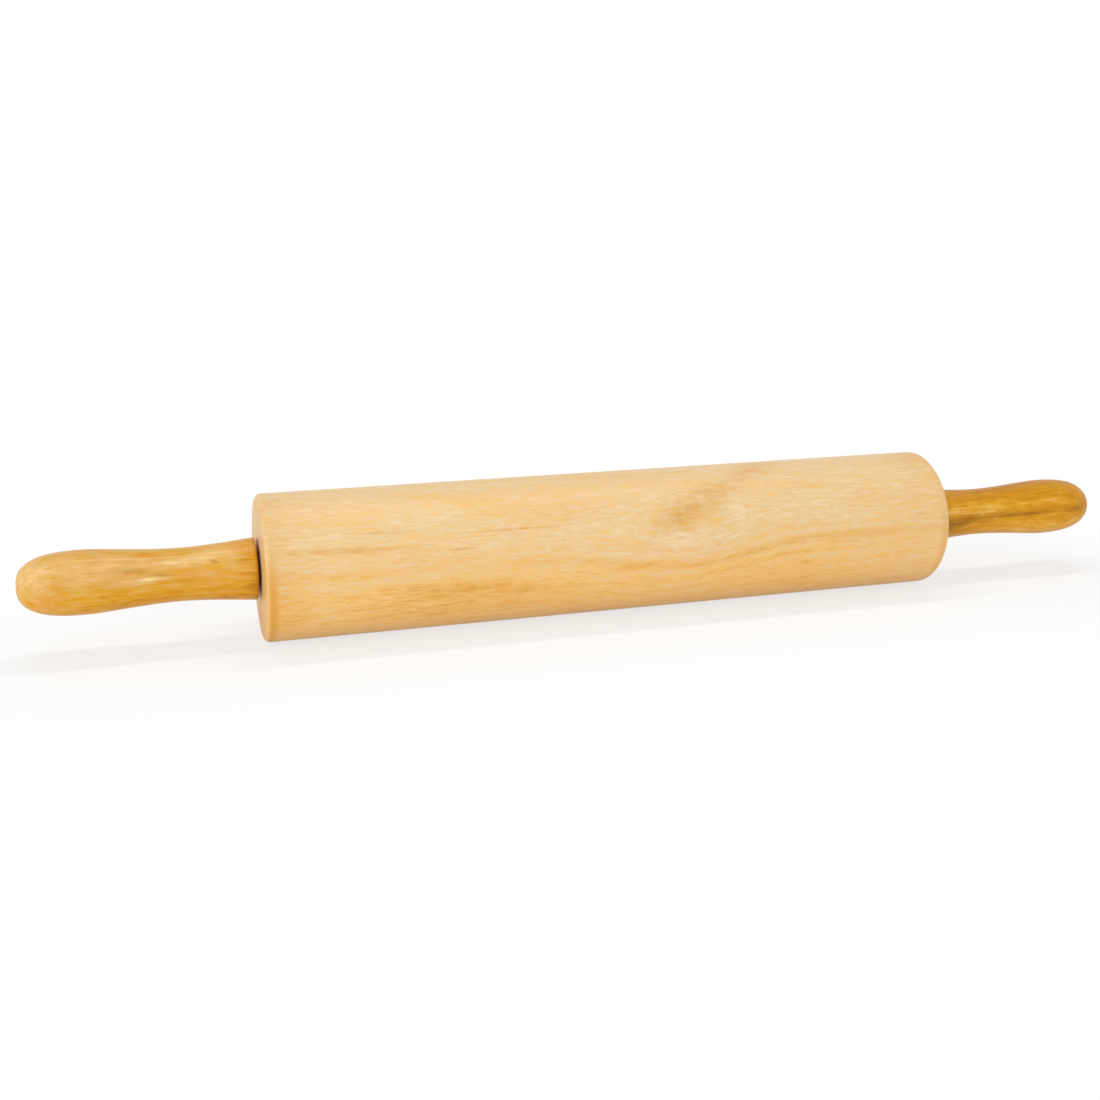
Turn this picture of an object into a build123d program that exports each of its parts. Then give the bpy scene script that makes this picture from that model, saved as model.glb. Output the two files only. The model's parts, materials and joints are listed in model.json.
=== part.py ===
from build123d import *
import os
from math import asin, cos, pi, radians, sin, tan

# Rolling pin: a turned wooden barrel that spins on a steel rod between two turned wooden handles.
# X runs along the rod, Z is up, and the barrel rests on Z = 0 with its middle over the origin.
# Each end of the barrel holds one sealed ball bearing. A snap ring on the rod backs its inner race,
# and the handle is screwed up against a spacer on its outer side. All sizes are in millimetres.

# Barrel
barrel_diameter = 76.2
barrel_length = 381.0
barrel_edge_radius = 3.2
seat_mouth_chamfer = 0.4

# Handle
handle_length = 115.0
handle_gap = 1.5
handle_base_radius = 16.1
handle_waist_radius = 13.55
handle_bulb_radius = 16.2
handle_base_round = 1.0
waist_place_share = 0.328
rise_place_share = 0.647
rise_height_share = 0.833
bulb_place_share = 0.72
base_taper_share = 0.086
nose_fullness = 2.7
nose_point_shares = (0.3, 0.5, 0.7, 0.85, 0.95)

# Rod, with a threaded stub at each end, drawn at the thread's pitch diameter
rod_diameter = 8.0
thread_depth = 0.4
thread_length = 27.0
thread_end_chamfer = 0.8

# Threaded insert in the handle
insert_length = 20.0
insert_wall = 2.0
insert_barb_height = 0.5
insert_barb_count = 4
insert_mouth_chamfer = 0.4
drill_end_clearance = 2.0
drill_point_angle = 118.0
drill_side_clearance = 0.3

# Ball bearing
bearing_outside_diameter = 22.0
bearing_recess = 0.5
race_wall = 1.5
race_land_height = 0.55
race_edge_chamfer = 0.3
groove_fullness = 1.04
cage_web = 0.4
cage_wall = 1.5
cage_grip = 1.2
ball_spacing = 2.3
seal_thickness = 0.45
seal_lip = 0.25
seal_recess = 0.35
seal_seat_depth = 0.65

# Snap ring on the rod
snap_ring_thickness = 0.8
snap_groove_depth = 0.2
snap_beam_width = 1.5
snap_beam_thin_share = 0.7
snap_ear_radius = 1.3
snap_hole_radius = 0.6
snap_opening = 2.2

# Spacer between inner race and handle
spacer_wall = 1.9

# Clearances, each on the radius or along the rod
fit_clearance = 0.01
ball_clearance = 0.015
pocket_clearance = 0.12
cage_clearance = 0.2
seal_clearance = 0.2
snap_groove_play = 0.1
bore_clearance = 0.9

# Places and sizes that follow from those above
barrel_radius = barrel_diameter / 2
barrel_end = barrel_length / 2
rod_radius = rod_diameter / 2
thread_radius = rod_radius - thread_depth

seat_radius = bearing_outside_diameter / 2 + fit_clearance
race_bore_radius = rod_radius + fit_clearance
race_outer_radius = bearing_outside_diameter / 2
pitch_radius = (race_bore_radius + race_outer_radius) / 2
ball_radius = (race_outer_radius - race_bore_radius) / 2 - race_wall - ball_clearance
pocket_radius = ball_radius + pocket_clearance
inner_groove_bottom = pitch_radius - ball_radius - ball_clearance
outer_groove_bottom = pitch_radius + ball_radius + ball_clearance
inner_land_radius = inner_groove_bottom + race_land_height
outer_land_radius = outer_groove_bottom - race_land_height
groove_radius = ball_radius * groove_fullness
seal_seat_radius = outer_land_radius + seal_seat_depth
cage_back = pocket_radius + cage_web
seal_inner_face = cage_back + cage_clearance
bearing_half_width = seal_inner_face + seal_thickness + seal_recess
bearing_outer_face = -bearing_recess
bearing_middle = bearing_outer_face - bearing_half_width
bearing_inner_face = bearing_middle - bearing_half_width
ball_count = int(pi / asin((ball_radius + ball_spacing / 2) / pitch_radius))

snap_groove_radius = rod_radius - snap_groove_depth
snap_ear_place = rod_radius + snap_ear_radius
snap_reach = snap_ear_place + snap_ear_radius
barrel_bore_radius = snap_reach + bore_clearance

insert_bore_radius = thread_radius + fit_clearance
insert_root_radius = insert_bore_radius + insert_wall
insert_radius = insert_root_radius + insert_barb_height
pocket_bore_radius = insert_radius + fit_clearance
drill_radius = thread_radius + drill_side_clearance
drill_depth = max(insert_length, thread_length) + drill_end_clearance
drill_point_length = drill_radius / tan(radians(drill_point_angle / 2))

spacer_radius = race_bore_radius + spacer_wall

spin_axis = Axis((0, 0, barrel_radius), (1, 0, 0))
sides = {"left": -1, "right": 1}


def profile_plane(outward, distance=0):
    """Plane through the axis, X outwards from that far past one end face of the barrel, Y upwards."""
    place = (outward * (barrel_end + distance), 0, barrel_radius)
    return Plane(origin=place, x_dir=(outward, 0, 0), z_dir=(0, -outward, 0))


def cross_plane(outward, distance):
    """Plane square to the axis, that far outwards from one end face of the barrel, X downwards."""
    place = (outward * (barrel_end + distance), 0, barrel_radius)
    return Plane(origin=place, x_dir=(0, 0, -1), z_dir=(outward, 0, 0))


def save(piece, name):
    piece.part.label = name
    export_step(piece.part, f"parts/{name}.step")


def make_barrel():
    with BuildPart() as barrel:
        with BuildSketch(Plane.YZ.offset(-barrel_end)):
            with Locations((0, barrel_radius)):
                Circle(barrel_radius)
        extrude(amount=barrel_length)
        rims = barrel.edges().filter_by(GeomType.CIRCLE)
        fillet(rims, radius=barrel_edge_radius)
        with BuildSketch(Plane.YZ.offset(-barrel_end)):
            with Locations((0, barrel_radius)):
                Circle(barrel_bore_radius)
        extrude(amount=barrel_length, mode=Mode.SUBTRACT)
        for outward in sides.values():
            # Seat for the bearing, with an eased mouth
            mouth = seat_radius + seat_mouth_chamfer
            with BuildSketch(profile_plane(outward)):
                with BuildLine():
                    Polyline(
                        (bearing_inner_face, 0),
                        (bearing_inner_face, seat_radius),
                        (-seat_mouth_chamfer, seat_radius),
                        (0, mouth),
                        (seat_mouth_chamfer, mouth),
                        (seat_mouth_chamfer, 0),
                        close=True,
                    )
                make_face()
            revolve(axis=spin_axis, mode=Mode.SUBTRACT)
    save(barrel, "barrel")


def make_rod():
    stub_end = handle_gap + thread_length
    groove_in = bearing_inner_face - snap_ring_thickness - snap_groove_play
    with BuildPart() as rod:
        with BuildSketch(Plane.YZ.offset(-barrel_end - handle_gap)):
            with Locations((0, barrel_radius)):
                Circle(rod_radius)
        extrude(amount=barrel_length + 2 * handle_gap)
        for outward in sides.values():
            # Threaded stub
            with BuildSketch(profile_plane(outward)):
                with BuildLine():
                    Polyline(
                        (handle_gap, 0),
                        (handle_gap, thread_radius),
                        (stub_end - thread_end_chamfer, thread_radius),
                        (stub_end, thread_radius - thread_end_chamfer),
                        (stub_end, 0),
                        close=True,
                    )
                make_face()
            revolve(axis=spin_axis)
            # Groove for the snap ring, which ends at the bearing's inner face
            with BuildSketch(cross_plane(outward, groove_in)):
                Circle(rod_radius)
                Circle(snap_groove_radius, mode=Mode.SUBTRACT)
            extrude(amount=bearing_inner_face - groove_in, mode=Mode.SUBTRACT)
    save(rod, "rod")


def nose_radius(share):
    """Radius of the handle's rounded nose at a share of the way from the bulb to the tip."""
    return handle_bulb_radius * (1 - share**nose_fullness) ** (1 / nose_fullness)


def make_handle(side, outward):
    waist_place = handle_gap + waist_place_share * handle_length
    rise_place = handle_gap + rise_place_share * handle_length
    bulb_place = handle_gap + bulb_place_share * handle_length
    tip_place = handle_gap + handle_length
    nose_length = tip_place - bulb_place
    rise_radius = handle_waist_radius + rise_height_share * (handle_bulb_radius - handle_waist_radius)
    nose = [(bulb_place + share * nose_length, nose_radius(share)) for share in nose_point_shares]
    with BuildPart() as handle:
        with BuildSketch(profile_plane(outward)):
            with BuildLine():
                Spline(
                    (handle_gap, handle_base_radius),
                    (waist_place, handle_waist_radius),
                    (rise_place, rise_radius),
                    (bulb_place, handle_bulb_radius),
                    tangents=[(1, -base_taper_share), (1, 0)],
                )
                Spline(
                    (bulb_place, handle_bulb_radius),
                    *nose,
                    (tip_place, 0),
                    tangents=[(1, 0), (0, -1)],
                )
                Polyline((tip_place, 0), (handle_gap, 0), (handle_gap, handle_base_radius))
            make_face()
        revolve(axis=spin_axis)
        base_rim = handle.edges().filter_by(GeomType.CIRCLE).sort_by(Axis.X)[0 if outward > 0 else -1]
        fillet(base_rim, radius=handle_base_round)
        # Pocket for the threaded insert, then the drilled hole past it
        with BuildSketch(profile_plane(outward)):
            with BuildLine():
                Polyline(
                    (handle_gap, 0),
                    (handle_gap, pocket_bore_radius),
                    (handle_gap + insert_length, pocket_bore_radius),
                    (handle_gap + insert_length, drill_radius),
                    (handle_gap + drill_depth, drill_radius),
                    (handle_gap + drill_depth + drill_point_length, 0),
                    close=True,
                )
            make_face()
        revolve(axis=spin_axis, mode=Mode.SUBTRACT)
    save(handle, f"{side}_handle")


def make_insert(side, outward):
    barb_length = insert_length / insert_barb_count
    inner_end = handle_gap + insert_length
    barbs = []
    for n in range(insert_barb_count):
        start = handle_gap + n * barb_length
        barbs += [(start, insert_radius), (start + barb_length, insert_root_radius)]
    with BuildPart() as insert:
        with BuildSketch(profile_plane(outward)):
            with BuildLine():
                Polyline(
                    (handle_gap, insert_bore_radius + insert_mouth_chamfer),
                    *barbs,
                    (inner_end, insert_bore_radius),
                    (handle_gap + insert_mouth_chamfer, insert_bore_radius),
                    close=True,
                )
            make_face()
        revolve(axis=spin_axis)
    save(insert, f"{side}_threaded_insert")


def make_spacer(side, outward):
    with BuildPart() as spacer:
        with BuildSketch(cross_plane(outward, bearing_outer_face)):
            Circle(spacer_radius)
            Circle(race_bore_radius, mode=Mode.SUBTRACT)
        extrude(amount=handle_gap - bearing_outer_face)
    save(spacer, f"{side}_spacer")


def make_snap_ring(side, outward):
    # The beam is thinnest beside the opening, so its outer circle stands off to the other side
    thin = snap_beam_width * snap_beam_thin_share
    outer_radius = snap_groove_radius + (snap_beam_width + thin) / 2
    stand_off = (snap_beam_width - thin) / 2
    ear_angle = asin((snap_opening / 2 + snap_ear_radius) / snap_ear_place)
    ear_places = [
        (snap_ear_place * cos(ear_angle), turn * snap_ear_place * sin(ear_angle)) for turn in (-1, 1)
    ]
    with BuildPart() as snap_ring:
        with BuildSketch(cross_plane(outward, bearing_inner_face - snap_ring_thickness)):
            with Locations((-stand_off, 0)):
                Circle(outer_radius)
            with Locations(ear_places):
                Circle(snap_ear_radius)
            Circle(snap_groove_radius + fit_clearance, mode=Mode.SUBTRACT)
            with Locations((snap_ear_place, 0)):
                Rectangle(2 * snap_ear_place, snap_opening, mode=Mode.SUBTRACT)
            with Locations(ear_places):
                Circle(snap_hole_radius, mode=Mode.SUBTRACT)
        extrude(amount=snap_ring_thickness)
    save(snap_ring, f"{side}_snap_ring")


def make_outer_race(side, outward):
    half, edge = bearing_half_width, race_edge_chamfer
    with BuildPart() as race:
        with BuildSketch(profile_plane(outward, bearing_middle)):
            with BuildLine():
                Polyline(
                    (-half, seal_seat_radius),
                    (-half, race_outer_radius - edge),
                    (edge - half, race_outer_radius),
                    (half - edge, race_outer_radius),
                    (half, race_outer_radius - edge),
                    (half, seal_seat_radius),
                    (seal_inner_face, seal_seat_radius),
                    (seal_inner_face, outer_land_radius),
                    (-seal_inner_face, outer_land_radius),
                    (-seal_inner_face, seal_seat_radius),
                    close=True,
                )
            make_face()
            with Locations((0, outer_groove_bottom - groove_radius)):
                Circle(groove_radius, mode=Mode.SUBTRACT)
        revolve(axis=spin_axis)
    save(race, f"{side}_bearing_outer_race")


def make_inner_race(side, outward):
    half, edge = bearing_half_width, race_edge_chamfer
    with BuildPart() as race:
        with BuildSketch(profile_plane(outward, bearing_middle)):
            with BuildLine():
                Polyline(
                    (-half, race_bore_radius + edge),
                    (-half, inner_land_radius),
                    (half, inner_land_radius),
                    (half, race_bore_radius + edge),
                    (half - edge, race_bore_radius),
                    (edge - half, race_bore_radius),
                    close=True,
                )
            make_face()
            with Locations((0, inner_groove_bottom + groove_radius)):
                Circle(groove_radius, mode=Mode.SUBTRACT)
        revolve(axis=spin_axis)
    save(race, f"{side}_bearing_inner_race")


def make_balls(side, outward):
    with BuildPart(cross_plane(outward, bearing_middle)) as balls:
        with PolarLocations(pitch_radius, ball_count):
            Sphere(ball_radius)
    save(balls, f"{side}_bearing_balls")


def make_cage(side, outward):
    # Crown cage: a ring that closes behind the balls and grips them a little past their middle
    with BuildPart(cross_plane(outward, bearing_middle)) as cage:
        with BuildSketch(cross_plane(outward, bearing_middle - cage_back)):
            Circle(pitch_radius + cage_wall / 2)
            Circle(pitch_radius - cage_wall / 2, mode=Mode.SUBTRACT)
        extrude(amount=cage_back + cage_grip)
        with PolarLocations(pitch_radius, ball_count):
            Sphere(pocket_radius, mode=Mode.SUBTRACT)
    save(cage, f"{side}_bearing_cage")


def make_seal(side, outward, facing, word):
    inner_radius = inner_land_radius + seal_clearance
    rim_radius = seal_seat_radius - fit_clearance
    near = seal_inner_face
    far = near + seal_thickness
    lip = far + seal_lip
    with BuildPart() as seal:
        with BuildSketch(profile_plane(outward, bearing_middle)):
            with BuildLine():
                Polyline(
                    (facing * near, inner_radius),
                    (facing * near, rim_radius),
                    (facing * lip, rim_radius),
                    (facing * lip, rim_radius - seal_thickness),
                    (facing * far, rim_radius - seal_thickness),
                    (facing * far, inner_radius),
                    close=True,
                )
            make_face()
        revolve(axis=spin_axis)
    save(seal, f"{side}_bearing_{word}_seal")


os.makedirs("parts", exist_ok=True)
make_barrel()
make_rod()
for side, outward in sides.items():
    make_handle(side, outward)
    make_insert(side, outward)
    make_spacer(side, outward)
    make_snap_ring(side, outward)
    make_outer_race(side, outward)
    make_inner_race(side, outward)
    make_balls(side, outward)
    make_cage(side, outward)
    make_seal(side, outward, 1, "outboard")
    make_seal(side, outward, -1, "inboard")

cage_share = outer_groove_bottom / (outer_groove_bottom + inner_groove_bottom)
print("balls in each bearing", ball_count)
print("ball diameter", round(2 * ball_radius, 3), "bearing width", round(2 * bearing_half_width, 3))
print("cage turns per barrel turn", round(cage_share, 4))
print("barrel bore diameter", round(2 * barrel_bore_radius, 2))
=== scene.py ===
import json
from math import cos, pi, radians, sin

import bmesh
import bpy
import numpy as np
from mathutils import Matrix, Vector


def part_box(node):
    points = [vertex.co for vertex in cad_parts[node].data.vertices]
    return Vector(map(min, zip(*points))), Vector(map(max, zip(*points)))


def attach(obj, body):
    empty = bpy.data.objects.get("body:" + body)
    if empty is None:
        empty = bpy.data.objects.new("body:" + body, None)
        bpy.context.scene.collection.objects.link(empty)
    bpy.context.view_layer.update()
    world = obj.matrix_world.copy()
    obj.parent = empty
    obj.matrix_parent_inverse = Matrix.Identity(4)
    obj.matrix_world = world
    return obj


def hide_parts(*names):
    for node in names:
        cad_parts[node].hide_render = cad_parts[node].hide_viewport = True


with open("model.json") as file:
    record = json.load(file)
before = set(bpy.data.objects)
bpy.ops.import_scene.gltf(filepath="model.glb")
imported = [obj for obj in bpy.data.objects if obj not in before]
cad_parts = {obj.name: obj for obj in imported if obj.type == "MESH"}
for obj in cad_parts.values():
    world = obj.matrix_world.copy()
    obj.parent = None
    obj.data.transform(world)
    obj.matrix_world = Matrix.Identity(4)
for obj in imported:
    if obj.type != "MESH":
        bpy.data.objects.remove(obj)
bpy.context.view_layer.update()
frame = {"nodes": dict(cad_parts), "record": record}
print("frame loaded:", len(frame["nodes"]), "nodes")

# Places that every piece shares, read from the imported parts, in metres
rodLow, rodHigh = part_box("rod")
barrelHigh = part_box("barrel")[1]
raceLow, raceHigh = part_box("right_bearing_outer_race")
axisHeight = (rodLow.z + rodHigh.z) / 2
barrelRadius = barrelHigh.y
barrelEnd = barrelHigh.x
seatRadius = raceHigh.y
seatFloor = raceLow.x


# Camera, at the place that the photo was taken from
cameraView = {
    "place": (-0.2492, -0.6944, 0.2313),
    "pan": 17.162,  # degrees to the right of straight ahead
    "tilt": -12.609,  # degrees up, so the camera looks down
    "lens": 45.236,  # millimetres, as is the sensor
    "sensor": 36.0,
    "shift": -0.0545,  # the cropped photograph's middle lies this share of its width below the lens axis
}


def makeCamera(settings):
    data = bpy.data.cameras.new("camera")
    data.lens = settings["lens"]
    data.sensor_width = settings["sensor"]
    data.shift_y = settings["shift"]
    camera = bpy.data.objects.new("camera", data)
    bpy.context.scene.collection.objects.link(camera)
    camera.location = settings["place"]
    camera.rotation_euler = (radians(90 + settings["tilt"]), 0, radians(-settings["pan"]))
    bpy.context.scene.camera = camera


makeCamera(cameraView)
bpy.context.scene.view_settings.view_transform = "Standard"
print("camera made")


# Small helpers that keep the material code short

def linear(red, green, blue):
    # a colour written as 0 to 255 on screen, turned by the sRGB curve into Blender's linear colour
    screen = np.array([red, green, blue]) / 255
    low = screen / 12.92
    high = ((screen + 0.055) / 1.055) ** 2.4
    return (*np.where(screen <= 0.04045, low, high).tolist(), 1.0)


def newMaterial(name):
    material = bpy.data.materials.new(name)
    material.use_nodes = True
    tree = material.node_tree
    tree.nodes.clear()
    shader = tree.nodes.new("ShaderNodeBsdfPrincipled")
    output = tree.nodes.new("ShaderNodeOutputMaterial")
    tree.links.new(shader.outputs["BSDF"], output.inputs["Surface"])
    return material, tree, shader


def feed(tree, socket, value):  # a socket takes either another node's output or a plain value
    if isinstance(value, bpy.types.NodeSocket):
        tree.links.new(value, socket)
    else:
        socket.default_value = value


def calc(tree, operation, first, second=0.0, clamp=False):
    node = tree.nodes.new("ShaderNodeMath")
    node.operation = operation
    node.use_clamp = clamp
    feed(tree, node.inputs[0], first)
    feed(tree, node.inputs[1], second)
    return node.outputs[0]


def vectorCalc(tree, operation, first, second=(0.0, 0.0, 0.0)):
    node = tree.nodes.new("ShaderNodeVectorMath")
    node.operation = operation
    feed(tree, node.inputs[0], first)
    if operation == "SCALE":
        feed(tree, node.inputs["Scale"], second)
    else:
        feed(tree, node.inputs[1], second)
    return node.outputs["Value" if operation == "LENGTH" else "Vector"]


def remap(tree, value, low, high, toLow=0.0, toHigh=1.0, smooth=False):
    node = tree.nodes.new("ShaderNodeMapRange")
    node.interpolation_type = "SMOOTHSTEP" if smooth else "LINEAR"
    feed(tree, node.inputs["Value"], value)
    node.inputs["From Min"].default_value = low
    node.inputs["From Max"].default_value = high
    node.inputs["To Min"].default_value = toLow
    node.inputs["To Max"].default_value = toHigh
    return node.outputs["Result"]


def mixColor(tree, share, first, second, blend="MIX"):
    node = tree.nodes.new("ShaderNodeMix")
    node.data_type = "RGBA"
    node.blend_type = blend
    feed(tree, node.inputs["Factor"], share)
    feed(tree, node.inputs["A"], first)
    feed(tree, node.inputs["B"], second)
    return node.outputs["Result"]


def grainNoise(tree, place, size, detail=2.0, roughness=0.5, shift=(0.0, 0.0, 0.0)):
    # noise whose blotches are about size[0] long, size[1] wide and size[2] high, in metres
    stretch = tree.nodes.new("ShaderNodeMapping")
    stretch.inputs["Scale"].default_value = [1 / part for part in size]
    stretch.inputs["Location"].default_value = shift
    feed(tree, stretch.inputs["Vector"], place)
    noise = tree.nodes.new("ShaderNodeTexNoise")
    noise.inputs["Scale"].default_value = 1.0
    noise.inputs["Detail"].default_value = detail
    noise.inputs["Roughness"].default_value = roughness
    feed(tree, noise.inputs["Vector"], stretch.outputs["Vector"])
    return noise


# Wood. The pattern fills the blank in three dimensions, so the side shows long grain and the ends
# show end grain. The grain runs along X, wanders a little, and parts round a knot.

def closeness(tree, place, spot, radius):
    # 1 at a point of the surface, falling smoothly to 0 one reach away along, into and across the grain.
    # The point lies x along the rod and angle degrees round it from the top towards the viewer.
    angle = radians(spot["angle"])
    centre = (spot["x"], -radius * sin(angle), axisHeight + radius * cos(angle))
    turned = tree.nodes.new("ShaderNodeVectorRotate")
    turned.rotation_type = "EULER_XYZ"
    turned.inputs["Rotation"].default_value = (pi / 2 - angle, radians(spot["rise"]), 0.0)
    feed(tree, turned.inputs["Vector"], vectorCalc(tree, "SUBTRACT", place, centre))
    scaled = vectorCalc(tree, "DIVIDE", turned.outputs["Vector"], spot["reach"])
    return remap(tree, vectorCalc(tree, "LENGTH", scaled), 1.0, 0.0, smooth=True)


woodPattern = {  # numbers that every wood shares
    "middle": (0.5, 0.5, 0.5),  # the mean of a noise's colour
    "noiseRange": (0.3, 0.7),  # where nearly all the values of a noise lie
    "layerRange": (-0.5, 0.5),  # what they become in a layer of the figure
    "layerRoughness": 0.6,
    "ringShownRange": (0.4, 0.62),
    "figureRange": (-0.16, 0.16),
    "poreCrowdRange": (0.35, 0.7),
    "poreEdge": 0.06,
    "blushRange": (0.4, 0.65),
    "rimAmberAndShade": 0.6,  # the share of the amber, shaded lower side from which a rim's painted shade is full
    "fibreHeight": 0.5,
}


def woodGrain(tree, look):
    # a point's own place, and the place in straight-grained wood that it takes its pattern from
    place = tree.nodes.new("ShaderNodeTexCoord").outputs["Object"]
    wander = grainNoise(tree, place, look["wanderSize"], detail=1.0, shift=look["shift"])
    sideways = vectorCalc(tree, "SUBTRACT", wander.outputs["Color"], woodPattern["middle"])
    sideways = vectorCalc(tree, "MULTIPLY", sideways, (0.0, look["wanderReach"], look["wanderReach"]))
    grain = vectorCalc(tree, "ADD", place, sideways)
    for knot in look["knots"]:  # the grain bends away from the knot's middle
        angle = radians(knot["angle"])
        centre = (knot["x"], -look["radius"] * sin(angle), axisHeight + look["radius"] * cos(angle))
        away = vectorCalc(tree, "SUBTRACT", place, centre)
        away = vectorCalc(tree, "MULTIPLY", away, (0.0, knot["parting"], knot["parting"]))
        near = closeness(tree, place, knot, look["radius"])
        grain = vectorCalc(tree, "SUBTRACT", grain, vectorCalc(tree, "SCALE", away, near))
    return place, grain


def growthRings(tree, grain, look):
    # distance from the tree's pith, which lies outside the blank and leans against X, in ring widths
    fromPith = tree.nodes.new("ShaderNodeMapping")
    fromPith.inputs["Location"].default_value = [-part for part in look["pithPlace"]]
    fromPith.inputs["Rotation"].default_value = look["pithLean"]
    feed(tree, fromPith.inputs["Vector"], grain)
    flat = vectorCalc(tree, "MULTIPLY", fromPith.outputs["Vector"], (0.0, 1.0, 1.0))
    count = calc(tree, "DIVIDE", vectorCalc(tree, "LENGTH", flat), look["ringPitch"])
    uneven = grainNoise(tree, grain, look["ringUnevenSize"], detail=1.0).outputs["Fac"]
    count = calc(tree, "ADD", count, calc(tree, "MULTIPLY", uneven, look["ringUneven"]))
    wave = calc(tree, "SINE", calc(tree, "MULTIPLY", count, 2 * pi))
    line = remap(tree, wave, look["ringEdge"], 1.0, smooth=True)
    shown = grainNoise(tree, grain, look["ringShownSize"], detail=1.0, shift=look["shift"]).outputs["Fac"]
    shown = remap(tree, shown, *woodPattern["ringShownRange"], look["ringFaint"], 1.0, smooth=True)
    return calc(tree, "MULTIPLY", line, shown)


def woodTone(tree, look, place, grain, alongX, amberAndShade):
    # everything that makes the wood paler or darker adds up to one tone, painted shade below and painted
    # highlights among the spots too
    figure = 0.0
    for layer in look["layers"]:
        noise = grainNoise(tree, grain, layer["size"], layer["detail"], woodPattern["layerRoughness"],
                           look["shift"]).outputs["Fac"]
        noise = remap(tree, noise, *woodPattern["noiseRange"], *woodPattern["layerRange"])
        figure = calc(tree, "ADD", figure, calc(tree, "MULTIPLY", noise, layer["weight"]))
    fibre = noise  # the last layer is the finest
    tone = calc(tree, "ADD", figure, look["tone"])
    fromMiddle = calc(tree, "ABSOLUTE", alongX)
    ringWeight = remap(tree, fromMiddle, *look["endRange"], look["ringWeight"], look["endRingWeight"])
    tone = calc(tree, "SUBTRACT", tone, calc(tree, "MULTIPLY", growthRings(tree, grain, look), ringWeight))
    # darker towards the lower front: partly the wood's own amber, partly painted shade of the underside
    tone = calc(tree, "SUBTRACT", tone, calc(tree, "MULTIPLY", amberAndShade, look["amberAndShadeWeight"]))
    for spot in look["spots"]:
        share = closeness(tree, grain if spot["bends"] else place, spot, look["radius"])
        tone = calc(tree, "SUBTRACT", tone, calc(tree, "MULTIPLY", share, spot["weight"]))
    return tone, figure, fibre


def woodStain(tree, look, place, grain, figure):
    # the placed brown patches, broken up by the figure of the wood
    stain = 0.0
    for spot in look["stains"]:
        share = closeness(tree, grain if spot["bends"] else place, spot, look["radius"])
        stain = calc(tree, "ADD", stain, calc(tree, "MULTIPLY", share, spot["weight"]))
    broken = remap(tree, figure, *woodPattern["figureRange"], 1 + look["stainBreak"], 1 - look["stainBreak"])
    return calc(tree, "MULTIPLY", stain, broken, clamp=True)


def woodPores(tree, look, grain):
    # thin dark dashes along the grain, and more of them in some streaks
    pore = grainNoise(tree, grain, look["poreSize"], detail=0.0).outputs["Fac"]
    crowd = grainNoise(tree, grain, look["poreCrowdSize"], detail=1.0).outputs["Fac"]
    crowd = remap(tree, crowd, *woodPattern["poreCrowdRange"], look["poreRare"], look["poreDense"])
    return remap(tree, calc(tree, "SUBTRACT", pore, crowd), 0.0, woodPattern["poreEdge"], smooth=True)


def turnedEdges(tree, look, color, alongX, amberAndShade):
    # painted shade: an amber band along each rim, strongest below, where the rounding turns from the light;
    # beyond it the end's rounded edge is paler, partly rubbed wear and partly painted highlight
    for rim in look["rims"]:
        fromRim = calc(tree, "ABSOLUTE", calc(tree, "SUBTRACT", alongX, rim["x"]))
        share = remap(tree, fromRim, rim["width"], 0.0, smooth=True)
        tinted = remap(tree, amberAndShade, 0.0, woodPattern["rimAmberAndShade"], rim["above"], rim["below"])
        color = mixColor(tree, calc(tree, "MULTIPLY", share, tinted), color, look["rimShade"])
    fromMiddle = calc(tree, "ABSOLUTE", alongX)
    # the paler rounded edge at each end: partly rubbed wear, partly painted highlight
    fromEdge = calc(tree, "ABSOLUTE", calc(tree, "SUBTRACT", fromMiddle, look["wearAndHighlightPlace"]))
    wearAndHighlight = remap(tree, fromEdge, look["wearAndHighlightWidth"], 0.0, 0.0, look["wearAndHighlightShare"], smooth=True)
    wearAndHighlight = calc(tree, "MULTIPLY", wearAndHighlight, remap(tree, amberAndShade, 0.0, 1.0, look["wearAndHighlightHigh"], look["wearAndHighlightLow"]))
    return mixColor(tree, wearAndHighlight, color, look["wearAndHighlight"])


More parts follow.
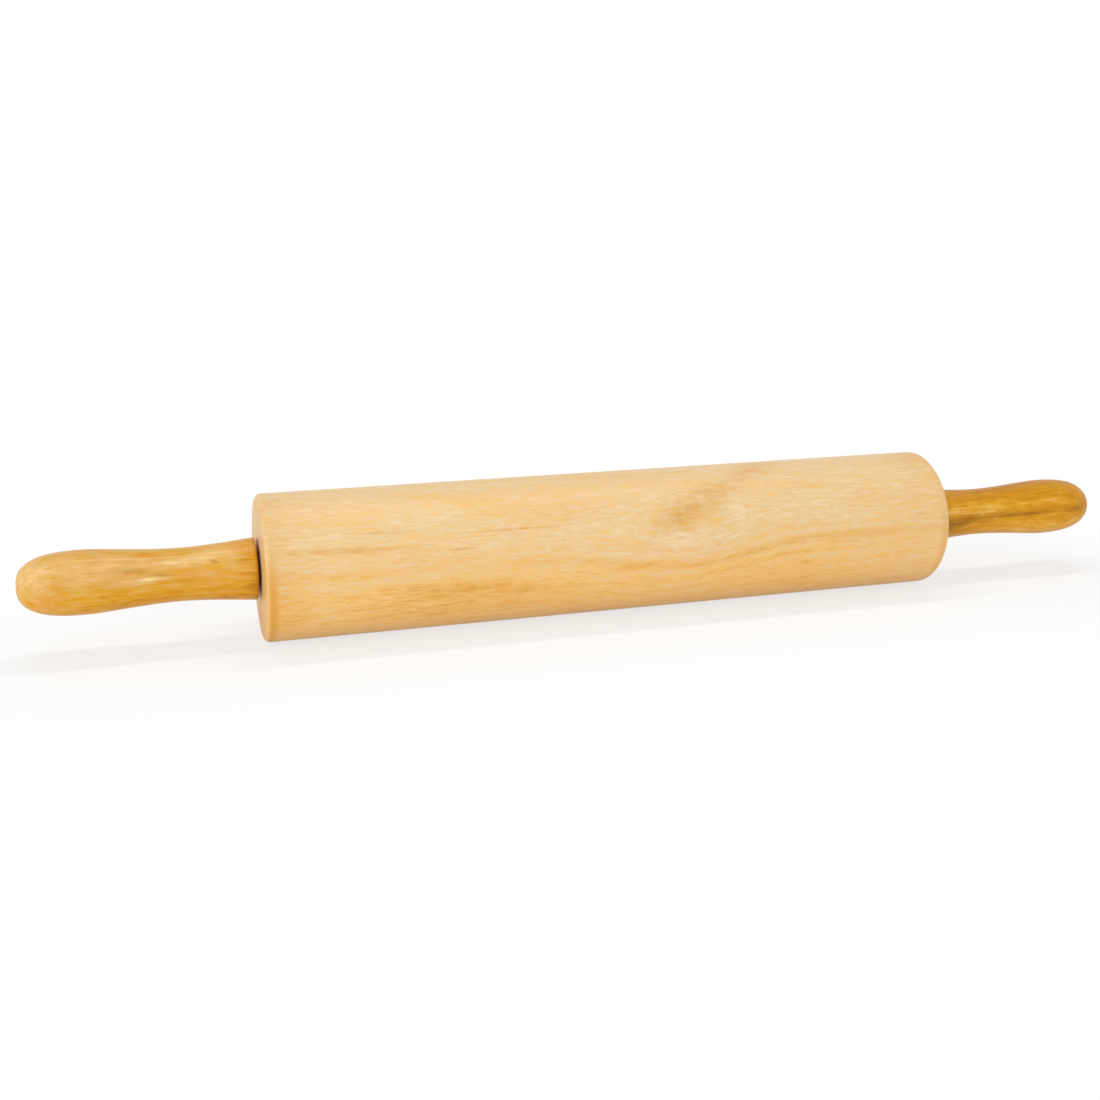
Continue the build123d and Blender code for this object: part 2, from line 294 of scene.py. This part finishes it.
def woodMaterial(name, look):
    material, tree, shader = newMaterial(name)
    place, grain = woodGrain(tree, look)
    split = tree.nodes.new("ShaderNodeSeparateXYZ")
    feed(tree, split.inputs["Vector"], place)
    alongX = split.outputs["X"]
    # the share of the lower front side, which is partly the wood's own amber and partly painted shade
    lean = tree.nodes.new("ShaderNodeVectorMath")
    lean.operation = "DOT_PRODUCT"
    feed(tree, lean.inputs[0], grain)
    lean.inputs[1].default_value = look["amberAndShadeSide"]
    amberAndShade = remap(tree, lean.outputs["Value"], *look["amberAndShadeRange"], smooth=True)
    tone, figure, fibre = woodTone(tree, look, place, grain, alongX, amberAndShade)
    stain = woodStain(tree, look, place, grain, figure)
    pores = woodPores(tree, look, grain)

    ramp = tree.nodes.new("ShaderNodeValToRGB")
    for index, (position, color) in enumerate(look["colors"]):
        element = ramp.color_ramp.elements[index] if index < 2 else ramp.color_ramp.elements.new(position)
        element.position = position
        element.color = color
    feed(tree, ramp.inputs["Fac"], tone)
    warmth = grainNoise(tree, place, look["blushSize"], detail=1.0, shift=look["shift"]).outputs["Fac"]
    warmth = remap(tree, warmth, *woodPattern["blushRange"], 0.0, look["blushShare"], smooth=True)
    color = mixColor(tree, warmth, ramp.outputs["Color"], look["blush"], "MULTIPLY")
    color = mixColor(tree, stain, color, look["stain"], "MULTIPLY")
    color = mixColor(tree, calc(tree, "MULTIPLY", pores, look["poreShare"]), color, look["pore"])
    feed(tree, shader.inputs["Base Color"], turnedEdges(tree, look, color, alongX, amberAndShade))

    rough = remap(tree, fibre, *woodPattern["layerRange"], look["roughLow"], look["roughHigh"])
    feed(tree, shader.inputs["Roughness"], rough)
    shader.inputs["Specular IOR Level"].default_value = look["sheen"]
    shader.inputs["Coat Weight"].default_value = look["coat"]
    shader.inputs["Coat Roughness"].default_value = look["coatRoughness"]
    height = calc(tree, "SUBTRACT", calc(tree, "MULTIPLY", fibre, woodPattern["fibreHeight"]), pores)
    bump = tree.nodes.new("ShaderNodeBump")
    bump.inputs["Strength"].default_value = look["bumpStrength"]
    bump.inputs["Distance"].default_value = look["bumpDepth"]
    feed(tree, bump.inputs["Height"], height)
    feed(tree, shader.inputs["Normal"], bump.outputs["Normal"])
    return material


def patch(x, angle, reach, weight, rise=0, bends=False):
    # a patch x along the rod and angle degrees round it from the top towards the viewer. It fades to
    # nothing one reach away along, into and across the grain, climbs by rise degrees, and bends with
    # the grain or keeps its shape.
    return {"x": x, "angle": angle, "reach": reach, "weight": weight, "rise": rise, "bends": bends}


barrelWood = {
    "radius": barrelRadius,
    "tone": 0.66,
    "colors": [  # places on the ramp from dark to pale: its two ends first, then what lies between
        (0.0, linear(198, 136, 52)),
        (1.0, linear(240, 220, 184)),
        (0.22, linear(222, 168, 82)),
        (0.42, linear(232, 187, 111)),
        (0.66, linear(228, 195, 143)),
    ],
    "layers": [  # size along and across the grain in metres, finest last
        {"size": (0.16, 0.030, 0.030), "detail": 1.0, "weight": 0.06},
        {"size": (0.030, 0.006, 0.006), "detail": 2.0, "weight": 0.08},
        {"size": (0.050, 0.0022, 0.0022), "detail": 2.0, "weight": 0.10},
        {"size": (0.0075, 0.0014, 0.0014), "detail": 2.0, "weight": 0.24},
        {"size": (0.011, 0.0006, 0.0006), "detail": 2.0, "weight": 0.16},
    ],
    "shift": (3.0, 7.0, 1.0),
    "wanderSize": (0.14, 0.06, 0.06),
    "wanderReach": 0.008,
    "knots": [  # where the grain parts, and by which share of the distance
        {"x": 0.030, "angle": 58, "rise": 0, "reach": (0.082, 0.075, 0.075), "parting": 0.54},
    ],
    "pithPlace": (0.0, 0.050, 0.0),
    "pithLean": (0.0, 0.02, 0.03),
    "ringPitch": 0.0042,
    "ringUnevenSize": (0.1, 0.02, 0.02),
    "ringUneven": 1.6,
    "ringEdge": -0.1,
    "ringShownSize": (0.12, 0.02, 0.02),
    "ringFaint": 0.25,
    "ringWeight": 0.09,
    # darker and more amber towards the lower front: partly the wood's own colour, partly painted shade
    "amberAndShadeSide": (0.0, -0.45, -0.89),
    "amberAndShadeRange": (-0.038, 0.004),
    "amberAndShadeWeight": 0.24,
    "blush": linear(255, 246, 236),
    "blushSize": (0.05, 0.02, 0.02),
    "blushShare": 0.5,
    "pore": linear(186, 136, 72),
    "poreSize": (0.0060, 0.00042, 0.00042),
    "poreCrowdSize": (0.06, 0.010, 0.010),
    "poreRare": 0.84,
    "poreDense": 0.69,
    "poreShare": 0.36,
    # painted shade along each end's rounding, strongest below, in this colour
    "rimShade": linear(212, 154, 58),
    "rims": [
        {"x": -0.1877, "width": 0.0044, "above": 0.06, "below": 0.95},
        {"x": 0.1866, "width": 0.0034, "above": 0.08, "below": 0.42},
    ],
    # a paler line on the rounded end edge: partly rubbed wear, partly painted highlight
    "wearAndHighlight": linear(242, 208, 154),
    "wearAndHighlightPlace": 0.1898,
    "wearAndHighlightWidth": 0.0010,
    "wearAndHighlightShare": 0.55,
    "wearAndHighlightHigh": 0.35,
    "wearAndHighlightLow": 0.8,
    "endRange": (0.1888, 0.1904),
    "endRingWeight": 0.22,
    "stainBreak": 0.5,
    "sheen": 0.4,
    "roughLow": 0.40,
    "roughHigh": 0.52,
    "coat": 0.0,
    "coatRoughness": 0.3,
    "bumpStrength": 0.25,
    "bumpDepth": 0.0002,
    "spots": [  # x, angle, reach, weight: darker where the weight is above 0 and paler below
        patch(0.034, 77, (0.034, 0.02, 0.0075), -0.17),
        patch(0.042, 63, (0.026, 0.02, 0.018), 0.15),
        patch(0.190, 10, (0.034, 0.05, 0.030), 0.12),
        patch(0.180, 118, (0.10, 0.04, 0.030), -0.12),
        patch(-0.087, 104, (0.080, 0.02, 0.0080), 0.22, rise=-3),
        patch(-0.098, 118, (0.062, 0.02, 0.0120), 0.14),
        patch(0.060, 96, (0.12, 0.02, 0.0034), 0.10, bends=True),
        patch(0.070, 86, (0.19, 0.02, 0.0056), 0.12, bends=True),
        patch(0.070, 79, (0.17, 0.02, 0.0030), -0.08, bends=True),
        patch(0.0, 31, (0.26, 0.02, 0.0150), 0.08),
        patch(-0.1912, 176, (0.0032, 0.040, 0.040), 0.12),
    ],
    "stain": linear(228, 200, 132),
    "stains": [  # browner patches: the knot with its tails, lines of the grain, and both ends
        patch(0.039, 50, (0.042, 0.02, 0.014), 0.55, rise=27),
        patch(0.027, 59, (0.026, 0.02, 0.0050), 0.06, rise=10),
        patch(0.077, 15, (0.036, 0.02, 0.012), 0.36, rise=36),
        patch(0.070, 86, (0.19, 0.02, 0.0034), 0.26, bends=True),
        patch(-0.060, 60, (0.040, 0.02, 0.0009), 0.50),
        patch(-0.092, 72, (0.010, 0.02, 0.0008), 0.80),
        patch(-0.150, 67, (0.045, 0.02, 0.0030), 0.40, rise=-2),
        patch(-0.132, 55, (0.022, 0.02, 0.0018), 0.42),
        patch(-0.192, 65, (0.034, 0.08, 0.080), 0.28),
        patch(0.190, 10, (0.034, 0.05, 0.030), 0.22),
    ],
}

handleWood = {
    "radius": 0.0148,
    "tone": 0.60,
    "colors": [
        (0.0, linear(178, 114, 6)),
        (1.0, linear(240, 212, 154)),
        (0.32, linear(214, 157, 32)),
        (0.58, linear(217, 172, 94)),
        (0.80, linear(228, 189, 124)),
    ],
    "layers": [
        {"size": (0.050, 0.012, 0.012), "detail": 1.0, "weight": 0.12},
        {"size": (0.009, 0.0035, 0.0035), "detail": 2.0, "weight": 0.22},
        {"size": (0.028, 0.0012, 0.0012), "detail": 2.0, "weight": 0.24},
        {"size": (0.009, 0.0008, 0.0008), "detail": 2.0, "weight": 0.12},
    ],
    "shift": (1.0, 2.0, 5.0),
    "wanderSize": (0.07, 0.03, 0.03),
    "wanderReach": 0.005,
    "knots": [],
    "pithPlace": (0.0, 0.030, 0.02),
    "pithLean": (0.0, 0.04, 0.03),
    "ringPitch": 0.0036,
    "ringUnevenSize": (0.05, 0.01, 0.01),
    "ringUneven": 1.4,
    "ringEdge": -0.2,
    "ringShownSize": (0.06, 0.01, 0.01),
    "ringFaint": 0.3,
    "ringWeight": 0.08,
    # darker and more amber towards the lower front: partly the wood's own colour, partly painted shade
    "amberAndShadeSide": (0.0, -0.3, -0.95),
    "amberAndShadeRange": (-0.042, -0.022),
    "amberAndShadeWeight": 0.26,
    "blush": linear(255, 232, 216),
    "blushSize": (0.02, 0.012, 0.012),
    "blushShare": 0.5,
    "pore": linear(160, 104, 40),
    "poreSize": (0.0045, 0.0004, 0.0004),
    "poreCrowdSize": (0.03, 0.006, 0.006),
    "poreRare": 0.84,
    "poreDense": 0.70,
    "poreShare": 0.4,
    # painted shade round the base next to the gap at the barrel, in this colour
    "rimShade": linear(196, 120, 34),
    "rims": [{"x": -0.1925, "width": 0.0022, "above": 0.3, "below": 0.5}],
    # paler towards the top of the nose: partly rubbed wear, partly painted highlight
    "wearAndHighlight": linear(240, 200, 140),
    "wearAndHighlightPlace": 0.310,
    "wearAndHighlightWidth": 0.014,
    "wearAndHighlightShare": 0.12,
    "wearAndHighlightHigh": 1.0,
    "wearAndHighlightLow": 0.5,
    "endRange": (0.290, 0.306),
    "endRingWeight": 0.14,
    "stainBreak": 0.25,
    "sheen": 0.1,
    "roughLow": 0.34,
    "roughHigh": 0.46,
    "coat": 0.20,
    "coatRoughness": 0.16,
    "bumpStrength": 0.2,
    "bumpDepth": 0.00015,
    "spots": [
        # the paler spots, with weight below 0, are painted highlights
        patch(-0.243, 80, (0.018, 0.01, 0.0012), -0.40),
        patch(-0.235, 46, (0.016, 0.01, 0.0044), -0.30),
        patch(-0.219, 42, (0.018, 0.01, 0.0050), -0.30, rise=8),
        patch(-0.302, 60, (0.018, 0.03, 0.024), -0.14),
        patch(-0.260, 46, (0.008, 0.01, 0.0022), -0.26),
        patch(-0.250, 83, (0.024, 0.01, 0.0028), -0.20),
        patch(-0.191, 84, (0.016, 0.04, 0.034), 0.30),
        patch(-0.250, 4, (0.110, 0.02, 0.0130), 0.16),
    ],
    "stain": linear(204, 184, 112),
    "stains": [
        patch(-0.254, 61, (0.013, 0.01, 0.0024), 0.55),
        patch(-0.240, 72, (0.012, 0.01, 0.0014), 0.55, rise=-5),
        patch(-0.270, 60, (0.016, 0.01, 0.0009), 0.40),
        patch(-0.213, 53, (0.0040, 0.01, 0.0014), 0.60, rise=-20),
        patch(-0.223, 55, (0.0050, 0.01, 0.0012), 0.45),
        patch(-0.200, 60, (0.0060, 0.01, 0.0020), 0.40),
    ],
}

rightHandleWood = dict(
    handleWood,
    tone=0.58,
    colors=[
        (0.0, linear(160, 100, 2)),
        (1.0, linear(236, 190, 98)),
        (0.32, linear(192, 127, 3)),
        (0.58, linear(206, 143, 6)),
        (0.80, linear(222, 163, 44)),
    ],
    shift=(8.0, 4.0, 3.0),
    amberAndShadeWeight=0.0,
    stain=linear(204, 200, 188),
    blushShare=0.3,
    # painted shade round the base next to the gap at the barrel
    rims=[{"x": 0.1925, "width": 0.0022, "above": 0.3, "below": 0.5}],
    spots=[
        # the paler spots, with weight below 0, are painted light: highlights along the upper side, and light
        # on the shaded underside at 124 degrees
        patch(0.230, 71, (0.050, 0.01, 0.0076), -0.34),
        patch(0.250, 0, (0.110, 0.02, 0.0130), 0.20),
        patch(0.274, 63, (0.020, 0.01, 0.0026), -0.34),
        patch(0.285, 71, (0.016, 0.01, 0.0032), -0.30),
        patch(0.211, 72, (0.012, 0.01, 0.0040), -0.18),
        patch(0.262, 124, (0.060, 0.01, 0.0110), -0.26),
    ],
    stains=[
        patch(0.212, 98, (0.052, 0.01, 0.0064), 1.00, rise=5),
        patch(0.255, 89, (0.030, 0.01, 0.0018), 1.00, rise=1),
        patch(0.289, 87, (0.016, 0.01, 0.0026), 0.60),
        patch(0.205, 110, (0.018, 0.01, 0.0060), 0.30),
    ],
)

barrelMaterial = woodMaterial("barrelWood", barrelWood)
leftHandleMaterial = woodMaterial("leftHandleWood", handleWood)
rightHandleMaterial = woodMaterial("rightHandleWood", rightHandleWood)
print("wood materials made")


# Metal and moulded finishes for the parts inside

def metalMaterial(name, look):
    material, tree, shader = newMaterial(name)
    place = tree.nodes.new("ShaderNodeTexCoord").outputs["Object"]
    cloud = grainNoise(tree, place, [look["cloudSize"]] * 3, detail=look["cloudDetail"]).outputs["Fac"]
    marks = grainNoise(tree, place, look["markSize"]).outputs["Fac"]
    feed(tree, shader.inputs["Base Color"], mixColor(tree, cloud, look["color"], look["shade"]))
    rough = remap(tree, marks, *look["markRange"], look["roughLow"], look["roughHigh"])
    feed(tree, shader.inputs["Roughness"], rough)
    shader.inputs["Metallic"].default_value = look["metallic"]
    bump = tree.nodes.new("ShaderNodeBump")
    bump.inputs["Strength"].default_value = look["bumpStrength"]
    bump.inputs["Distance"].default_value = look["bumpDepth"]
    feed(tree, bump.inputs["Height"], marks)
    feed(tree, shader.inputs["Normal"], bump.outputs["Normal"])
    return material


metalBase = {
    "color": linear(206, 206, 208),
    "shade": linear(168, 168, 172),
    "cloudSize": 0.004,
    "cloudDetail": 3.0,
    "markSize": (0.00015, 0.002, 0.002),  # turning marks: fine along X and long round it
    "markRange": (0.3, 0.7),
    "roughLow": 0.22,
    "roughHigh": 0.40,
    "metallic": 1.0,
    "bumpStrength": 0.15,
    "bumpDepth": 0.00005,
}
metalLooks = {
    "rod_steel": dict(metalBase, markSize=(0.004, 0.0002, 0.0002)),
    "insert_brass": dict(metalBase, color=linear(214, 180, 104), shade=linear(176, 138, 70)),
    # dark brown nylon, coloured a lighter brown: painted light in the shaded gap at each handle's base
    "spacer_nylon": dict(metalBase, color=linear(142, 98, 54), shade=linear(120, 82, 44), metallic=0.0,
                         markSize=(0.0006, 0.0006, 0.0006), roughLow=0.5, roughHigh=0.65),
    "spring_steel": dict(metalBase, color=linear(74, 72, 70), shade=linear(48, 46, 44), roughLow=0.4,
                         roughHigh=0.55),
    "race_steel": dict(metalBase, roughLow=0.10, roughHigh=0.20),
    "ball_steel": dict(metalBase, color=linear(222, 222, 224), roughLow=0.04, roughHigh=0.08,
                       bumpStrength=0.02),
    "cage_nylon": dict(metalBase, color=linear(206, 196, 170), shade=linear(190, 178, 150), metallic=0.0,
                       markSize=(0.0006, 0.0006, 0.0006), roughLow=0.42, roughHigh=0.55),
    # dark brown rubber, coloured a lighter brown: painted light in the shaded gap at each handle's base
    "seal_rubber": dict(metalBase, color=linear(138, 96, 54), shade=linear(118, 80, 44), metallic=0.0,
                        markSize=(0.0004, 0.0004, 0.0004), roughLow=0.5, roughHigh=0.65),
}
metalMaterials = {slot: metalMaterial(slot + "_finish", look) for slot, look in metalLooks.items()}

for part in frame["record"]["subparts"]:
    finish = metalMaterials.get(part["material_slot"])
    if finish:
        frame["nodes"][part["node"]].material_slots[0].material = finish
print("inner parts finished:", len(metalMaterials), "finishes")


# Turned pieces: a profile of (along X, radius) carried round the rod's axis

turning = {
    "lobes": (1, 2, 3, 5),  # waves round the piece
    "waveLengths": (0.02, 0.07),  # shortest and longest wave along it
    "sharpAngle": 40,
    "mergeDistance": 1e-7,
}


def turnedPiece(name, profile, shape, seed, loop=False):
    # point = (x, r sin a, axis + r cos a), with r less a slow wobble that sanding leaves: a sum of a few
    # long waves in x and a, always inwards, fading in over wobbleFrom so that holes and seats stay true
    along, radius = profile[:, :1], profile[:, 1:]
    steps = shape["steps"]
    angle = np.linspace(0, 2 * pi, steps, endpoint=False)[None, :]
    chance = np.random.default_rng(seed)
    wave = np.zeros((len(profile), steps))
    for lobes in turning["lobes"]:
        length = chance.uniform(*turning["waveLengths"])
        phase = chance.uniform(0, 2 * pi, 2)
        wave = wave + np.sin(2 * pi * along / length + phase[0]) * np.sin(lobes * angle + phase[1])
    inner, outer = shape["wobbleFrom"]
    fade = np.clip((radius - inner) / (outer - inner), 0, 1)
    count = len(turning["lobes"])
    radius = radius - shape["wobble"] * fade * (wave + count) / (2 * count)
    across, up = radius * np.sin(angle), axisHeight + radius * np.cos(angle)
    points = np.stack([along + 0 * angle, across, up], axis=-1)

    rows = len(profile)
    below = np.arange(rows if loop else rows - 1)[:, None]
    above = (below + 1) % rows
    here = np.arange(steps)[None, :]
    beside = (here + 1) % steps
    corners = np.stack([below * steps + here, above * steps + here,
                        above * steps + beside, below * steps + beside], axis=-1)
    mesh = bpy.data.meshes.new(name)
    mesh.from_pydata(points.reshape(-1, 3).tolist(), [], corners.reshape(-1, 4).tolist())
    closePoles(mesh)
    mesh.shade_smooth()
    mesh.set_sharp_from_angle(angle=radians(turning["sharpAngle"]))
    piece = bpy.data.objects.new(name, mesh)
    bpy.context.scene.collection.objects.link(piece)
    return piece


def closePoles(mesh):  # rings of no radius become single points, and every face points outwards
    work = bmesh.new()
    work.from_mesh(mesh)
    bmesh.ops.remove_doubles(work, verts=work.verts, dist=turning["mergeDistance"])
    bmesh.ops.recalc_face_normals(work, faces=work.faces)
    work.to_mesh(mesh)
    work.free()


def finishPiece(piece, material, body, node):
    piece.data.materials.append(material)
    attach(piece, body)
    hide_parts(node)


barrelShape = {
    "edgeRadius": 0.0032,
    "seatClearance": 0.00001,
    "mouthChamfer": 0.0004,
    "boreRadius": 0.0075,
    "sideRows": 45,
    "faceRows": 14,
    "rimRows": 12,
    "steps": 288,
    "wobble": 0.00004,
    "wobbleFrom": (0.012, 0.020),
}


def barrelProfile(shape):
    # half of the loop, from the middle of the outside to the middle of the bore, then its mirror:
    # straight lines, and at the rim a quarter circle (end - e + e sin t, radius - e + e cos t)
    edge, mouth = shape["edgeRadius"], shape["mouthChamfer"]
    seat = seatRadius + shape["seatClearance"]
    turn = np.linspace(0, pi / 2, shape["rimRows"])
    along = np.linspace(0, barrelEnd - edge, shape["sideRows"])
    across = np.linspace(barrelRadius - edge, seat + mouth, shape["faceRows"])
    side = np.stack([along, np.full_like(along, barrelRadius)], axis=-1)
    rim = np.stack([np.sin(turn), np.cos(turn)], axis=-1) * edge + [barrelEnd - edge, barrelRadius - edge]
    face = np.stack([np.full_like(across, barrelEnd), across], axis=-1)
    inside = np.array([
        [barrelEnd - mouth, seat],
        [seatFloor, seat],
        [seatFloor, shape["boreRadius"]],
        [0.0, shape["boreRadius"]],
    ])
    half = np.concatenate([side, rim[1:], face[1:], inside])
    mirror = half[-2:0:-1] * [-1, 1]
    return np.concatenate([half, mirror])


barrelPiece = turnedPiece("barrelRoller", barrelProfile(barrelShape), barrelShape, seed=4, loop=True)
finishPiece(barrelPiece, barrelMaterial, "barrel", "barrel")
print("barrel made")


handleShape = {
    "baseRadius": 0.0161,
    "waistRadius": 0.01355,
    "bulbRadius": 0.0162,
    "baseRound": 0.001,
    "waistShare": 0.328,
    "riseShare": 0.647,
    "riseHeightShare": 0.833,
    "bulbShare": 0.72,
    "baseTaper": 0.086,
    "noseFullness": 2.7,
    "pocketClearance": 0.00001,
    "holeRadius": 0.0039,
    "holeLength": 0.029,
    "holePoint": 0.0023,
    "gripRows": 90,
    "noseRows": 44,
    "lipRows": 8,
    "steps": 192,
    "wobble": 0.00012,
    "wobbleFrom": (0.0072, 0.010),
}


def smoothCurve(knots, heights, slopes, at):
    # a cubic through the knots, with the first and last slopes given and no jump in slope or bend between
    gap, rise = np.diff(knots), np.diff(heights)
    count = len(knots)
    matrix, right = np.eye(count), np.zeros(count)
    right[0], right[-1] = slopes
    for n in range(1, count - 1):
        matrix[n, n - 1:n + 2] = gap[n], 2 * (gap[n - 1] + gap[n]), gap[n - 1]
        right[n] = 3 * (gap[n] * rise[n - 1] / gap[n - 1] + gap[n - 1] * rise[n] / gap[n])
    slope = np.linalg.solve(matrix, right)
    n = np.clip(np.searchsorted(knots, at) - 1, 0, count - 2)
    t = (at - knots[n]) / gap[n]
    return ((1 + 2 * t) * (1 - t) ** 2 * heights[n] + t * (1 - t) ** 2 * gap[n] * slope[n]
            + t * t * (3 - 2 * t) * heights[n + 1] + t * t * (t - 1) * gap[n] * slope[n + 1])


def handleProfile(shape, base, length, insertRadius, insertLength):
    # from the nose along the outside to the base, then into the hole, with base and length in metres
    # along X. The grip is a cubic through four radii, the lip a quarter circle, and the nose a fuller
    # curve than an ellipse: (bulb + rest sin t ^ power, radius cos t ^ power), with power below 1.
    rise = shape["waistRadius"] + shape["riseHeightShare"] * (shape["bulbRadius"] - shape["waistRadius"])
    knots = np.array([0, shape["waistShare"], shape["riseShare"], shape["bulbShare"]]) * length
    heights = np.array([shape["baseRadius"], shape["waistRadius"], rise, shape["bulbRadius"]])
    along = np.linspace(shape["baseRound"], knots[-1], shape["gripRows"])
    grip = np.stack([along, smoothCurve(knots, heights, (-shape["baseTaper"], 0.0), along)], axis=-1)
    turn = np.linspace(0, pi / 2, shape["noseRows"])[1:]
    power = 2 / shape["noseFullness"]
    nose = np.stack([
        knots[-1] + (length - knots[-1]) * np.sin(turn) ** power,
        shape["bulbRadius"] * np.abs(np.cos(turn)) ** power,
    ], axis=-1)
    nose[-1, 1] = 0.0
    rounding = np.linspace(0, pi / 2, shape["lipRows"])[1:]
    start = grip[0, 1]
    small = shape["baseRound"]
    lip = np.stack([small - small * np.sin(rounding), start - small + small * np.cos(rounding)], axis=-1)
    pocket = insertRadius + shape["pocketClearance"]
    hole = np.array([
        [0.0, (start + pocket) / 2],
        [0.0, pocket],
        [insertLength, pocket],
        [insertLength, shape["holeRadius"]],
        [shape["holeLength"], shape["holeRadius"]],
        [shape["holeLength"] + shape["holePoint"], 0.0],
    ])
    profile = np.concatenate([nose[::-1], grip[::-1], lip, hole])
    return profile + [base, 0]


def makeHandle(side, outward, material, seed):
    low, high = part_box(f"{side}_handle")
    insertLow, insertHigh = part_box(f"{side}_threaded_insert")
    length = high.x - low.x
    base = low.x if outward > 0 else -high.x
    profile = handleProfile(handleShape, base, length, insertHigh.y, insertHigh.x - insertLow.x)
    profile = profile * [outward, 1]
    piece = turnedPiece(f"{side}Grip", profile, handleShape, seed)
    finishPiece(piece, material, "handles_and_rod", f"{side}_handle")


makeHandle("left", -1, leftHandleMaterial, 7)
makeHandle("right", 1, rightHandleMaterial, 9)
print("handles made")


# Floor, lamps and world

studio = {
    "floorSize": 3.0,
    "floorColor": linear(248, 247, 244),
    "floorRoughness": 0.9,
    "floorSheen": 0.1,
    "floorGlow": 0.70,  # share of plain white under the object, so that its shadow stays faint
    "floorReach": (0.26, 0.02),  # half the size of that place along X and Y
    "floorFade": (0.02, 0.16),  # between these distances from it the floor turns plain white
    "worldStrength": 0.56,  # of the light that falls on things. The camera sees plain white
}
lamps = [
    {"name": "overheadLamp", "place": (0.0, 0.15, 1.15), "aim": (0, 0, 0.04),
     "size": (1.1, 0.14), "power": 4.6},
    {"name": "frontLamp", "place": (-0.4, -1.5, 0.37), "aim": (0, 0, 0.04),
     "size": (2.6, 0.7), "power": 11.0},
    {"name": "endLamp", "place": (-1.6, -0.35, 0.35), "aim": (-0.2, 0, 0.04),
     "size": (0.8, 0.6), "power": 4.6},
]


def lightPathShare(tree):  # 1 for what the camera, a mirror or glass sees, 0 for light that falls on things
    path = tree.nodes.new("ShaderNodeLightPath")
    seen = calc(tree, "ADD", path.outputs["Is Camera Ray"], path.outputs["Is Glossy Ray"])
    return calc(tree, "ADD", seen, path.outputs["Is Transmission Ray"], clamp=True)


def makeFloor(settings):
    half = settings["floorSize"] / 2
    mesh = bpy.data.meshes.new("floor")
    corners = [(-half, -half, 0), (half, -half, 0), (half, half, 0), (-half, half, 0)]
    mesh.from_pydata(corners, [], [(0, 1, 2, 3)])
    floor = bpy.data.objects.new("floor", mesh)
    bpy.context.scene.collection.objects.link(floor)
    material, tree, shader = newMaterial("floorPaper")
    shader.inputs["Base Color"].default_value = settings["floorColor"]
    shader.inputs["Roughness"].default_value = settings["floorRoughness"]
    shader.inputs["Specular IOR Level"].default_value = settings["floorSheen"]
    white = tree.nodes.new("ShaderNodeEmission")
    white.inputs["Strength"].default_value = 1.0
    place = tree.nodes.new("ShaderNodeTexCoord").outputs["Object"]
    flat = vectorCalc(tree, "ABSOLUTE", vectorCalc(tree, "MULTIPLY", place, (1.0, 1.0, 0.0)))
    flat = vectorCalc(tree, "SUBTRACT", flat, (*settings["floorReach"], 0.0))
    flat = vectorCalc(tree, "MAXIMUM", flat, (0.0, 0.0, 0.0))
    fade = remap(tree, vectorCalc(tree, "LENGTH", flat), *settings["floorFade"],
                 settings["floorGlow"], 1.0, smooth=True)
    share = calc(tree, "MULTIPLY", fade, lightPathShare(tree))
    mixer = tree.nodes.new("ShaderNodeMixShader")
    feed(tree, mixer.inputs[0], share)
    feed(tree, mixer.inputs[1], shader.outputs["BSDF"])
    feed(tree, mixer.inputs[2], white.outputs["Emission"])
    output = next(node for node in tree.nodes if node.type == "OUTPUT_MATERIAL")
    feed(tree, output.inputs["Surface"], mixer.outputs["Shader"])
    mesh.materials.append(material)


def makeLamp(settings):
    data = bpy.data.lights.new(settings["name"], "AREA")
    data.shape = "RECTANGLE"
    data.size, data.size_y = settings["size"]
    data.energy = settings["power"]
    lamp = bpy.data.objects.new(settings["name"], data)
    bpy.context.scene.collection.objects.link(lamp)
    lamp.location = settings["place"]
    towards = np.array(settings["aim"], float) - np.array(settings["place"], float)
    lamp.rotation_euler = Vector(towards).to_track_quat("-Z", "Y").to_euler()


def makeWorld(settings):
    world = bpy.data.worlds.new("studio")
    world.use_nodes = True
    tree = world.node_tree
    background = next(node for node in tree.nodes if node.type == "BACKGROUND")
    background.inputs["Color"].default_value = (1, 1, 1, 1)
    strength = remap(tree, lightPathShare(tree), 0.0, 1.0, settings["worldStrength"], 1.0)
    feed(tree, background.inputs["Strength"], strength)
    bpy.context.scene.world = world


makeFloor(studio)
for lamp in lamps:
    makeLamp(lamp)
makeWorld(studio)
print("studio made")
